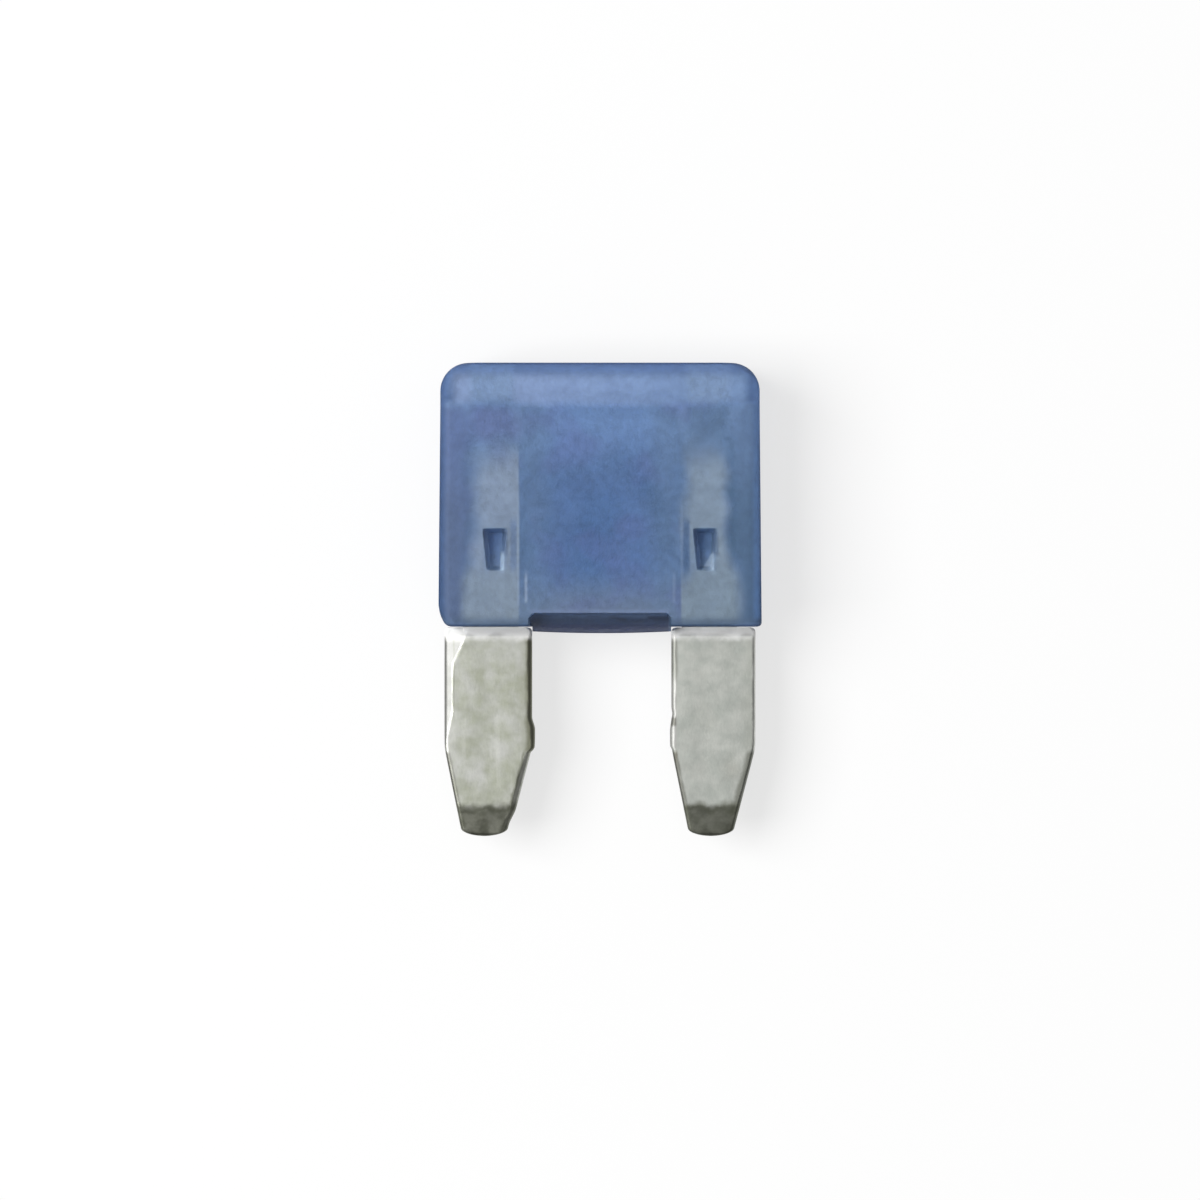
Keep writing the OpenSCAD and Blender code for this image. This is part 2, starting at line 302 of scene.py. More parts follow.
def housing_skin():
    """Closed outer surface: rounded sections from the rim to the head, sunk at the pits and rebates.

    The half width and half thickness follow the drafts. Within the corner radius of the top the width
    falls as a quarter circle, and so does the thickness within the edge radius, and both start from a
    small round at the rim. The lower left corner is cut back most at the rim, and less above it as the
    square of the share of the cut's height that is left.
    """
    half_u = levels((1.95, 6), (2.5, 22), (3.05, 4), (3.32, 11), (3.72, 5), (4.02, 12), (5.05, 7)) / 5.05
    face_u = (np.concatenate([-half_u[:0:-1], half_u]) + 1) / 2
    top_arc = HOUSING_H - EDGE_R + EDGE_R * np.sin(np.linspace(0, pi / 2, 12))[1:]
    y = np.concatenate([
        levels((0.15, 6), (0.25, 3), (0.5, 18), (1.82, 6), (2.05, 12), (3.15, 12), (3.38, 14), (7.3, 12),
               (8.0, 16), (8.5, 8)),
        top_arc,
    ])
    to_top = HOUSING_H - y
    corner = CORNER_R - np.sqrt(CORNER_R**2 - np.clip(CORNER_R - to_top, 0, None) ** 2)
    edge = EDGE_R - np.sqrt(np.clip(EDGE_R**2 - np.clip(EDGE_R - to_top, 0, None) ** 2, 0, None))
    rim = RIM_R - np.sqrt(RIM_R**2 - np.clip(RIM_R - y, 0, None) ** 2)
    half_w = half_w_at(y) - corner - rim
    half_t = half_t_at(y) - edge - rim
    rings = section_rings(section_template(face_u), y, -half_w, half_w, half_t, EDGE_R, EDGE_R, EDGE_R)
    x, y, z = np.moveaxis(rings, -1, 0)
    on_face = np.abs(x) < half_w[:, None] - EDGE_R + 1e-6
    sunk = (pit_depth(x, y) + rebate_depth(x, y)) * on_face
    rings[..., 2] = np.sign(z) * (np.abs(z) - sunk)
    rings[..., 0] += RIM_CUT_W * np.clip(1 - y / RIM_CUT_H, 0, 1) ** 2 * smoothstep(-x, 4.5, 5.2)
    return raw_solid("housing_shell", rings)


def tongue(side):
    """Thin plate behind the rebate, from blade to blade, whose lower edge is a shallow parabola."""
    share = np.linspace(-1, 1, 33)
    left, right = TONGUE_GAP - LEFT_IN, RIGHT_IN - TONGUE_GAP
    x = (left + right) / 2 + share * (right - left) / 2
    lower = np.column_stack([x, TONGUE_BOW * share**2 - TONGUE_DROP])
    outline = np.concatenate([lower, [(right, REBATE_H), (left, REBATE_H)]])
    near, far = STEM_T / 2 + FIT + 0.1, HOUSING_T / 2 - REBATE_DEPTH
    return prism("tongue", outline, *sorted((side * near, side * far)))


def chamber():
    """Room for the link: it gets thinner towards the head, and its roof is half an ellipse."""
    roof = np.linspace(0, 1, 10)[:-1]
    y = np.concatenate([[-1.0], GRIP_Y - 0.15 - CHAMBER_ROOF * (1 - roof)])
    half_t = STEM_T / 2 + FIT + 0.1 - (y + 1) * tan(radians(0.6))
    half_t[1:] *= np.sqrt(1 - roof**2)
    half_w = STEM_IN - 0.1
    template = section_template(np.linspace(0, 1, 3), 4)
    rings = section_rings(template, y, -half_w + 0 * y, half_w, half_t, 0.08, 0.08, 0.08)
    return raw_solid("chamber", rings)


def stem_outline(grow):
    """Corners of the right stem's outline, anticlockwise, with a clearance all round."""
    return np.array([
        (STEM_IN - grow, -FOOT_REACH),
        (STEM_OUT + FOOT_EXTRA + grow, -FOOT_REACH),
        (STEM_OUT + FOOT_EXTRA + grow, FOOT_H + grow),
        (STEM_OUT + grow, FOOT_H + FOOT_EXTRA + grow),
        (STEM_OUT + grow, STEM_H - STEM_CHAMFER + grow / 2),
        (STEM_OUT - STEM_CHAMFER + grow / 2, STEM_H + grow),
        (STEM_IN + STEM_CHAMFER - grow / 2, STEM_H + grow),
        (STEM_IN - grow, STEM_H - STEM_CHAMFER + grow / 2),
    ])


def mirrored(outline):
    """The same outline on the left, still anticlockwise."""
    return (outline * (-1, 1))[::-1]


def slot_outline(points=48):
    """Round-ended slot of the stake plug, anticlockwise."""
    a = np.linspace(0, 2 * pi, points, endpoint=False)
    r = HOLE_W / 2 - 0.03
    rise = (HOLE_H - HOLE_W) / 2
    return np.column_stack([STAKE_X + r * np.cos(a), STAKE_Y + r * np.sin(a) + rise * np.sign(np.sin(a))])


def housing_shell():
    """The moulded housing: its skin and tongues, less the chamber, pockets and probe windows."""
    pocket_t = STEM_T / 2 + FIT
    window_in, window_out = STEM_IN + 0.15, STEM_OUT - 0.15
    pockets = []
    plugs = []
    for turn in (np.array, mirrored):
        outline = turn(stem_outline(FIT))
        pockets.append(prism("pocket", outline, -pocket_t, pocket_t))
        ends = turn(np.array([(window_in, 0), (window_out, 0)]))[:, 0]
        pockets.append(block("window", min(ends), max(ends), STEM_H - 0.05, HOUSING_H + 1, pocket_t))
        mouth = turn(np.array([(STEM_IN - 0.2, 0), (STEM_IN + 0.1, 0)]))[:, 0]
        pockets.append(block("mouth", min(mouth), max(mouth), -FOOT_REACH, STEM_H, pocket_t - 0.002))
        for side in (-1, 1):
            reach = sorted((side * (STEM_T / 2 - PLUG_REACH), side * (STEM_T / 2 + 3 * FIT)))
            plugs.append(prism("plug", turn(slot_outline()), *reach))
    skin = combined(housing_skin(), joined=[tongue(1), tongue(-1)])
    return combined(combined(skin, cut=[chamber(), *pockets]), joined=plugs)


# Zinc element

def stub(y, top, bottom, height):
    """Height of what the shear left of the tie bar: a slow rise from its top and a quick fall below."""
    return height * (1 - smoothstep(y, top - 0.45, top)) * smoothstep(y, bottom, bottom + 0.16)


def blade(side):
    """One blade, as rounded sections from its tip to its shoulders; side is 1 on the right.

    Both edges run straight and then taper evenly, while the tip leans slightly to the left and ends in
    half an ellipse. The face is flat, ramps down to the stem's thickness at the shoulders, and falls as
    a wedge to the tip. Flat bevels run down both edges, and on the left blade one widens into a corner
    facet. Sine waves make the faces slightly uneven, and the shear has left a stub on the inside.
    """
    crown = CROWN_H * (1 - np.cos(np.linspace(0, pi / 2, 18)))
    rest = levels((0.9, 14), (2.74, 24), (3.24, 16), (4.04, 12), (6.2, 18), (6.81, 22))[1:]
    y = np.concatenate([crown, CROWN_H + rest]) - BLADE_LEN
    below = TAPER_Y - y
    taper = (below + np.sqrt(below**2 + TAPER_ROUND**2)) / 2 / TAPER_LEN
    outer = BLADE_OUT - TAPER_EACH_SIDE * taper
    if side < 0:
        inner = LEFT_IN + TAPER_EACH_SIDE * taper - stub(y, -3.05, -4.28, 0.1)
        inner += TIP_CUT * smoothstep(-y, 6.15, 6.75)
        left, right = -outer, -inner
        facet = FACET_W * np.clip((y - FACET_Y) / FACET_LEN, 0, 1)
        bevel_left = LEFT_BEVEL_W * smoothstep(y, *LEFT_BEVEL_Y) + facet
        bevel_right = 0.14 + 0.06 * (1 - smoothstep(y, -4.6, -4.1))
    else:
        inner = RIGHT_IN + TAPER_EACH_SIDE * taper - stub(y, -3.1, -4.2, 0.05)
        inner += 0.03 * np.exp(-(((y + 2.95) / 0.12) ** 2))
        left, right = inner, outer
        bevel_left = 0.03 + 0.09 * smoothstep(y, -4.3, -4.0)
        bevel_right = 0.03 + 0.06 * (1 - smoothstep(y, -4.4, -4.0))
    left = left + TIP_LEAN * taper
    right = right + TIP_LEAN * taper
    to_tip = y + BLADE_LEN
    crown_share = np.maximum(np.sqrt(1 - np.clip(1 - to_tip / CROWN_H, 0, 1) ** 2), 0.04)
    to_shoulder = -SEAT_GAP - y
    shoulder = SHOULDER_R * (1 - np.sqrt(1 - np.clip(1 - to_shoulder / SHOULDER_R, 0, 1) ** 2))
    middle, half_w = (left + right) / 2, (right - left) / 2 * crown_share - shoulder
    left, right = middle - half_w, middle + half_w
    half_t = STRIP_T / 2 - (STRIP_T - STEM_T) / 2 * smoothstep(y, -SHOULDER_RAMP, -SEAT_GAP)
    wedge = np.clip(COIN_LEN - to_tip, 0, None)
    half_t -= (STRIP_T - TIP_T) / 2 * wedge / COIN_LEN
    half_t -= 0.1 * (1 - np.sqrt(1 - np.clip(1 - to_tip / 0.12, 0, 1) ** 2))
    face_u = levels((0.3, 26), (0.86, 18), (1.0, 12))
    roll = np.minimum(EDGE_ROLL, 0.4 * (right - left))
    rings = section_rings(section_template(face_u, 8), y, left, right, half_t, roll, roll, EDGE_ROLL)
    x, y, z = np.moveaxis(rings, -1, 0)
    from_left, from_right = x - left[:, None], right[:, None] - x
    uneven = 0.018 * np.sin(3.1 * y + side) + 0.012 * np.sin(8.3 * y)
    bevel = BEVEL_SLOPE * np.clip(bevel_left[:, None] + uneven - from_left, 0, None)
    bevel += BEVEL_SLOPE * np.clip(bevel_right[:, None] + uneven - from_right, 0, None)
    bevel *= smoothstep(y, -BLADE_LEN, 0.8 - BLADE_LEN)
    wave = np.sin(2.3 * x + 1.1 * y + side) * np.sin(0.9 * x - 1.9 * y) + np.sin(5.1 * x + 2.0) / 2
    sunk = (np.minimum(bevel, BEVEL_DEPTH) + FACE_WAVE * (1 + wave)) * smoothstep(np.abs(z), 0.06, 0.28)
    rings[..., 2] = z - np.sign(z) * sunk
    return raw_solid("zinc_element", rings)


def stem(side):
    """Flat stem with its long hole: rays from the hole's centre cross the hole's edge and the outline.

    Along a ray at the angle a the edge of the round-ended hole lies at its side, w / 2 / |cos a|, or on
    its end, c |sin a| + root(w^2 / 4 - c^2 cos^2 a), where c is the offset of the end's centre.
    """
    corners = stem_outline(0)
    share = np.linspace(0, 1, 12, endpoint=False)[:, None]
    outer = np.concatenate([a + share * (b - a) for a, b in zip(corners, np.roll(corners, -1, axis=0))])
    centre = np.array([STAKE_X, STAKE_Y])
    ray = outer - centre
    reach = np.linalg.norm(ray, axis=1, keepdims=True)
    ray = ray / reach
    w, c = HOLE_W, (HOLE_H - HOLE_W) / 2
    flank = w / 2 / np.maximum(np.abs(ray[:, :1]), 1e-6)
    end = c * np.abs(ray[:, 1:]) + np.sqrt(np.maximum(w * w / 4 - c * c * ray[:, :1] ** 2, 0))
    hole = np.where(flank * np.abs(ray[:, 1:]) <= c, flank, end)
    loops = []
    for r, z in [(hole, 1), (reach - 0.04, 1), (reach, 0.87), (reach, -0.87), (reach - 0.04, -1), (hole, -1)]:
        flat = centre + ray * r
        loops.append(np.column_stack([side * flat[:, 0], flat[:, 1], np.full(len(flat), z * STEM_T / 2)]))
    rings = np.stack(loops)
    return raw_solid("stem", rings if side < 0 else rings[:, ::-1], closed=True)


def link():
    """Arched link: a rounded strip carried along its feet, legs and half circle.

    The strip's width is full but for two round notches at the crown, where it is
    w - 2 root(r^2 - s^2) at the distance s along the arch, and it thickens towards its feet.
    """
    bend = LINK_BEND
    foot_y = ARCH_Y - 0.45 - LINK_W / 2
    a = np.linspace(0, pi / 2, 10)[1:]
    start = np.column_stack([np.linspace(STEM_IN + 0.3, ARCH_R + bend, 6), np.full(6, foot_y)])
    corner = np.column_stack([ARCH_R + bend - bend * np.sin(a), foot_y + bend - bend * np.cos(a)])
    turn = np.concatenate([np.linspace(0, 84, 36), np.linspace(84, 90, 10)[1:]]) * pi / 180
    arch = np.column_stack([ARCH_R * np.cos(turn), ARCH_Y + ARCH_R * np.sin(turn)])
    half = np.concatenate([start, corner, arch])
    path = np.concatenate([half, (half * (-1, 1))[-2::-1]])
    along = np.gradient(path, axis=0)
    along /= np.linalg.norm(along, axis=1, keepdims=True)
    across = np.column_stack([along[:, 1], -along[:, 0]])
    notch_r = (LINK_W - NECK_W) / 2
    from_crown = np.hypot(path[:, 0], path[:, 1] - ARCH_Y - ARCH_R)
    notch = np.sqrt(np.clip(notch_r**2 - from_crown**2, 0, None))
    half_w = LINK_W / 2 - notch
    half_t = LINK_T / 2 + 0.1 * smoothstep(np.abs(path[:, 0]), STEM_IN - 0.2, STEM_IN)
    template = section_template(np.linspace(0, 1, 7), 4)
    flat = section_rings(template, np.zeros(len(path)), -half_w, half_w, half_t, 0.04, 0.04, 0.04)
    rings = flat.copy()
    rings[..., :2] = path[:, None] + across[:, None] * flat[..., :1]
    return raw_solid("link", rings)


def zinc_element():
    """The one stamped piece: both blades with their stems and the link between them."""
    return combined(blade(-1), joined=[blade(1), stem(-1), stem(1), link()])


# Materials

class Paint:
    """Adds shader nodes to one new material. Every value may be a number, a colour or a socket.

    x, y and z are the millimetres of the pieces' own working frame, read from Object coordinates.
    """

    def __init__(self, name):
        self.material = bpy.data.materials.new(name)
        self.material.use_nodes = True
        self.tree = self.material.node_tree
        self.tree.nodes.clear()
        self.output = self.tree.nodes.new("ShaderNodeOutputMaterial")
        place = self.add("ShaderNodeTexCoord")
        self.place = self.add("ShaderNodeMapping", Location=(0, -RIM, -MIDDLE), Scale=(1 / MM,) * 3)
        self.join(place.outputs["Object"], self.place.inputs["Vector"])
        axes = self.add("ShaderNodeSeparateXYZ", Vector=self.place.outputs[0])
        self.x, self.y, self.z = axes.outputs

    def join(self, value, socket):
        if isinstance(value, bpy.types.NodeSocket):
            self.tree.links.new(value, socket)
        elif socket.type == "RGBA":
            socket.default_value = (*value, 1)
        else:
            socket.default_value = value

    def add(self, kind, settings=(), **inputs):
        node = self.tree.nodes.new(kind)
        for name, value in settings:
            setattr(node, name, value)
        for name, value in inputs.items():
            self.join(value, node.inputs[name.replace("_", " ")])
        return node

    def math(self, operation, a, b=0.0):
        node = self.add("ShaderNodeMath", [("operation", operation)])
        self.join(a, node.inputs[0])
        self.join(b, node.inputs[1])
        return node.outputs[0]

    def product(self, *factors):
        result = factors[0]
        for factor in factors[1:]:
            result = self.math("MULTIPLY", result, factor)
        return result

    def ease(self, value, start, end):
        """0 at start and 1 at end, with a smooth step between; start may be the larger."""
        node = self.add("ShaderNodeMapRange", [("interpolation_type", "SMOOTHSTEP")])
        for socket, part in zip(node.inputs, (value, start, end, 0.0, 1.0)):
            self.join(part, socket)
        return node.outputs[0]

    def remap(self, value, low, high):
        """low at 0 and high at 1, in a straight line."""
        return self.math("ADD", self.math("MULTIPLY", value, high - low), low)

    def blend(self, share, a, b, kind="MIX"):
        node = self.add("ShaderNodeMix", [("data_type", "RGBA"), ("blend_type", kind)])
        for index, part in ((0, share), (6, a), (7, b)):
            self.join(part, node.inputs[index])
        return node.outputs[2]

    def cloud(self, size, detail=2.0, stretch=(1, 1, 1), shift=(0, 0, 0)):
        """Smooth noise from 0 to 1 whose patches are about size millimetres wide."""
        scale = tuple(1 / (size * s) for s in stretch)
        place = self.add("ShaderNodeMapping", Vector=self.place.outputs[0], Scale=scale, Location=shift)
        noise = self.add("ShaderNodeTexNoise", Vector=place.outputs[0], Scale=1.0, Detail=detail)
        return self.ease(noise.outputs[0], 0.25, 0.75)

    def zone(self, colour, shade, *shares):
        """colour turned into shade by the product of the shares."""
        return self.blend(self.product(*shares), colour, shade)

    def within(self, value, low, high, soft):
        """1 from low to high and 0 outside, with soft borders."""
        risen = self.ease(value, self.math("SUBTRACT", low, soft), self.math("ADD", low, soft))
        return self.product(
            risen, self.ease(value, self.math("ADD", high, soft), self.math("SUBTRACT", high, soft))
        )

    def line(self, value, centre, half_w):
        """1 where value is at centre, and 0 from half_w away from it."""
        off = self.math("ABSOLUTE", self.math("SUBTRACT", value, centre))
        return self.ease(off, half_w, half_w * 0.3)

    def mottled(self, colour, low, high, *clouds):
        """colour times a grey that the mean of the clouds takes from low to high."""
        total = clouds[0]
        for cloud in clouds[1:]:
            total = self.math("ADD", total, cloud)
        grey = self.remap(self.math("MULTIPLY", total, 1 / len(clouds)), low, high)
        shade = self.add("ShaderNodeCombineColor", Red=grey, Green=grey, Blue=grey)
        return self.blend(1.0, colour, shade.outputs[0], "MULTIPLY")

    def bump(self, height, distance):
        node = self.add("ShaderNodeBump", Height=height, Strength=1.0, Distance=distance * MM)
        return node.outputs[0]


def floor_material():
    """White to the camera, to reflections and through the plastic, but it keeps the fuse's shadow."""
    paint = Paint("pale_floor")
    lit = paint.add("ShaderNodeBsdfDiffuse", Color=(0.86, 0.86, 0.86))
    plain = paint.add("ShaderNodeEmission", Strength=1.0)
    rays = paint.add("ShaderNodeLightPath")
    seen = paint.math("MAXIMUM", rays.outputs["Is Camera Ray"], rays.outputs["Is Glossy Ray"])
    seen = paint.math("MAXIMUM", seen, rays.outputs["Is Transmission Ray"])
    mix = paint.add("ShaderNodeMixShader", Fac=paint.math("MULTIPLY", seen, FLOOR_GLOW))
    paint.join(lit.outputs[0], mix.inputs[1])
    paint.join(plain.outputs[0], mix.inputs[2])
    paint.join(mix.outputs[0], paint.output.inputs["Surface"])
    return paint.material


def plastic_material():
    """Frosted blue plastic: rough clear refraction under a cloudy blue haze, with blue absorption.

    The haze carries painted light: it is paler over the solid head, for the light its solid plastic scatters,
    and paler on the head's left, where the key lamp falls. It is greyer over the stems and darkens along the
    rim.
    Painted shade darkens the outer sides, the top edge, the rebate and each stake pit's far wall, and the
    pits are otherwise painted lighter. Painted highlights make thin pale lines at the stems' inner edges, a
    pale line above the rebate and a pale patch at the lower right of each stake pit.
    """
    paint = Paint("frosted_blue_plastic")
    x, y = paint.x, paint.y
    ease, zone, product = paint.ease, paint.zone, paint.product
    side = paint.math("ABSOLUTE", x)
    rightward = ease(x, -4.8, 4.8)
    right_hand = ease(x, -0.3, 0.3)
    ragged = paint.remap(paint.cloud(1.4, detail=1.0, shift=(4, 4, 4)), -0.15, 0.15)
    ragged_side = paint.math("ADD", side, ragged)
    ragged_y = paint.math("ADD", y, product(ragged, 1.6))

    def by_side(left, right):
        """left on the left half and right on the right one."""
        return paint.blend(right_hand, left, right)

    colour = paint.blend(paint.cloud(2.2, shift=(3, 1, 0)), (0.098, 0.207, 0.436), (0.13, 0.239, 0.482))
    # Painted light: the haze turns paler towards the head, standing in for light scattered in the solid
    # plastic.
    colour = zone(colour, (0.207, 0.354, 0.644), ease(y, 4.6, 7.0), 0.9)
    colour = zone(colour, (0.216, 0.29, 0.405), ease(y, 2.2, 0.4), 0.85)
    colour = zone(colour, (0.175, 0.285, 0.442), ease(side, 1.2, 2.3), 0.5)
    violet = ease(paint.cloud(1.9, shift=(7, 2, 5)), 0.5, 1.0)
    colour = zone(colour, (0.156, 0.184, 0.442), violet, 0.35)

    column = by_side((0.096, 0.142, 0.243), (0.065, 0.136, 0.213))
    upper_column = by_side((0.12, 0.182, 0.369), (0.122, 0.217, 0.369))
    column = zone(column, upper_column, ease(y, 3.5, 6.5))
    below_head = ease(y, 7.65, 7.15)
    colour = zone(colour, column, ease(ragged_side, 4.1, 4.85), below_head, 0.95)

    over_window = product(ease(ragged_side, 2.6, 3.1), ease(ragged_side, 4.6, 4.0))
    window_shade = by_side((0.172, 0.237, 0.457), (0.153, 0.26, 0.428))
    colour = zone(colour, window_shade, over_window, ease(ragged_y, 6.1, 6.8), below_head, 0.85)

    stem_shade = by_side((0.35, 0.445, 0.578), (0.338, 0.44, 0.545))
    foot_shade = by_side((0.328, 0.415, 0.50), (0.304, 0.40, 0.476))
    foot = ease(y, 2.3, 1.4)
    stem_shade = zone(stem_shade, foot_shade, foot)
    blurred = product(right_hand, ease(y, 1.0, 2.0))
    sharp_inner = product(paint.math("SUBTRACT", 1.0, blurred), ease(side, 2.7, 2.78))
    inner = paint.math("ADD", product(blurred, ease(ragged_side, 2.55, 3.25)), sharp_inner)
    outer_limit = paint.math("SUBTRACT", ragged_side, product(foot, 0.34))
    outer = ease(outer_limit, 4.55, 3.95)
    colour = zone(colour, stem_shade, inner, outer, ease(ragged_y, 6.7, 5.0), 0.92)
    beside_pit = product(paint.within(side, 2.8, 3.02, 0.06), paint.within(y, 1.9, 3.6, 0.2))
    colour = zone(colour, by_side((0.20, 0.30, 0.49), (0.09, 0.175, 0.343)), beside_pit, 0.8)

    # Painted light: the head is paler, standing in for light scattered in its solid plastic, and paler on the
    # left, where the key lamp falls.
    head_painted_light = paint.blend(rightward, (0.285, 0.39, 0.60), (0.205, 0.325, 0.52))
    head = ease(paint.math("ADD", y, product(ragged, 0.4)), 7.36, 7.72)
    in_window = paint.within(side, 2.92, 4.37, 0.2)
    head_painted_light = zone(head_painted_light, (0.29, 0.425, 0.64), in_window)
    colour = zone(colour, head_painted_light, head)
    # Painted shade: the head darkens towards its outer sides.
    colour = zone(colour, (0.046, 0.115, 0.26), ease(side, 4.7, 5.15), head, 0.85)
    # Painted shade along the rounded top edge, paler over the probe windows.
    top_painted_shade = paint.blend(in_window, (0.10, 0.18, 0.36), (0.20, 0.32, 0.58))
    colour = zone(colour, top_painted_shade, ease(y, 8.3, 8.7))
    # Side edges: darker paint on the left offsets the key lamp's light, and paler paint on the right offsets
    # its shade.
    colour = zone(colour, by_side((0.04, 0.09, 0.20), (0.15, 0.33, 0.69)), ease(side, 5.08, 5.34), 0.85)
    # Painted shade: a dark outline along the outer sides and the top.
    outline = paint.math("MAXIMUM", ease(side, 5.36, 5.42), ease(y, 8.8, 8.86))
    colour = zone(colour, (0.01, 0.05, 0.18), outline, 0.7)

    colour = zone(colour, (0.11, 0.175, 0.276), ease(y, 0.42, 0.12), 0.8)
    rim_line = product(ease(y, 0.1, 0.03), ease(side, 2.3, 2.45))
    colour = zone(colour, (0.02, 0.05, 0.13), rim_line, 0.85)
    in_strip = ease(side, 2.42, 2.28)
    # Painted highlight: a pale line along the wall's lower edge just above the rebate.
    highlight_above_rebate = product(ease(y, 0.44, 0.48), ease(y, 0.64, 0.52))
    colour = zone(colour, (0.25, 0.34, 0.54), highlight_above_rebate, in_strip, 0.85)
    # Painted shade in the rebate, darker towards its lower edge, with darker blotches across its middle.
    rebate_painted_shade = paint.blend(ease(y, 0.4, 0.22), (0.074, 0.13, 0.25), (0.016, 0.04, 0.10))
    rebate_painted_shade = zone(rebate_painted_shade, (0.0, 0.01, 0.065), ease(y, 0.14, 0.02))
    shade_blotches = ease(paint.cloud(0.4, stretch=(2.5, 0.6, 1), shift=(6, 3, 2)), 0.4, 0.8)
    rebate_painted_shade = zone(rebate_painted_shade, (0.0, 0.01, 0.04), paint.within(y, 0.16, 0.36, 0.06), shade_blotches)
    colour = zone(colour, rebate_painted_shade, in_strip, ease(y, 0.47, 0.4))

    # Painted highlights: thin pale lines at the stems' inner edges, fainter on the right.
    fainter_right = paint.remap(right_hand, 1.0, 0.35)
    long_highlight = product(paint.line(side, 2.75, 0.06), ease(y, 5.2, 3.4), ease(y, 0.4, 0.9))
    colour = zone(colour, (0.42, 0.54, 0.70), long_highlight, fainter_right, 0.55)
    short_highlight = product(paint.line(side, 2.49, 0.07), ease(y, 1.95, 1.6), ease(y, 0.75, 0.9))
    colour = zone(colour, (0.42, 0.54, 0.72), short_highlight, fainter_right, 0.75)

    # Painted light: the stake pits are painted lighter, more so towards their upper ends, which lifts their
    # shade.
    in_pit = product(paint.line(side, STAKE_X, 0.47), ease(y, 3.36, 3.28), ease(y, 1.85, 1.95))
    pit_painted_light = by_side((0.22, 0.39, 0.70), (0.18, 0.35, 0.64))
    colour = zone(colour, pit_painted_light, in_pit, paint.remap(ease(y, 1.9, 3.0), 0.45, 0.85))
    # Painted shade on the upper part of each stake pit's right wall, the wall that faces the key lamp.
    from_centre = paint.math("SUBTRACT", x, paint.remap(right_hand, -STAKE_X, STAKE_X))
    shaded_far_wall = product(paint.within(from_centre, 0.25, 0.45, 0.05), paint.within(y, 2.4, 3.3, 0.15))
    colour = zone(colour, (0.03, 0.08, 0.20), shaded_far_wall, 0.45)
    # Painted highlights: a pale wedge in the right stake pit and a pale streak in the left one, at the lower
    # right of each.
    slanted = paint.math("SUBTRACT", x, product(y, 0.6))
    wedge = product(ease(slanted, 2.24, 2.32), ease(x, 3.86, 3.8))
    highlight_streak = paint.within(x, -3.36, -3.23, 0.03)
    at_floor = product(ease(y, 1.86, 1.95), ease(y, 2.6, 2.4))
    colour = zone(colour, (0.60, 0.78, 0.98), paint.math("ADD", wedge, highlight_streak), at_floor, 0.95)

    fine, coarse = paint.cloud(0.25, detail=5.0), paint.cloud(0.9, shift=(2, 9, 4))
    colour = paint.mottled(colour, 0.8, 1.2, fine, fine, coarse)

    frost = paint.bump(paint.cloud(0.12, detail=3.0), 0.006)
    haze = paint.add("ShaderNodeBsdfPrincipled", Base_Color=colour, Roughness=HAZE_ROUGHNESS, Normal=frost)
    haze.inputs["Specular IOR Level"].default_value = 0.2
    clear = paint.add(
        "ShaderNodeBsdfRefraction", Color=(1, 1, 1), Roughness=CLEAR_ROUGHNESS, IOR=1.5, Normal=frost
    )
    mix = paint.add("ShaderNodeMixShader", Fac=CLEAR_SHARE)
    paint.join(haze.outputs[0], mix.inputs[1])
    paint.join(clear.outputs[0], mix.inputs[2])
    paint.join(mix.outputs[0], paint.output.inputs["Surface"])
    fog = paint.add("ShaderNodeVolumeAbsorption", Color=(0.25, 0.45, 0.8), Density=FOG_DENSITY)
    paint.join(fog.outputs[0], paint.output.inputs["Volume"])
    return paint.material


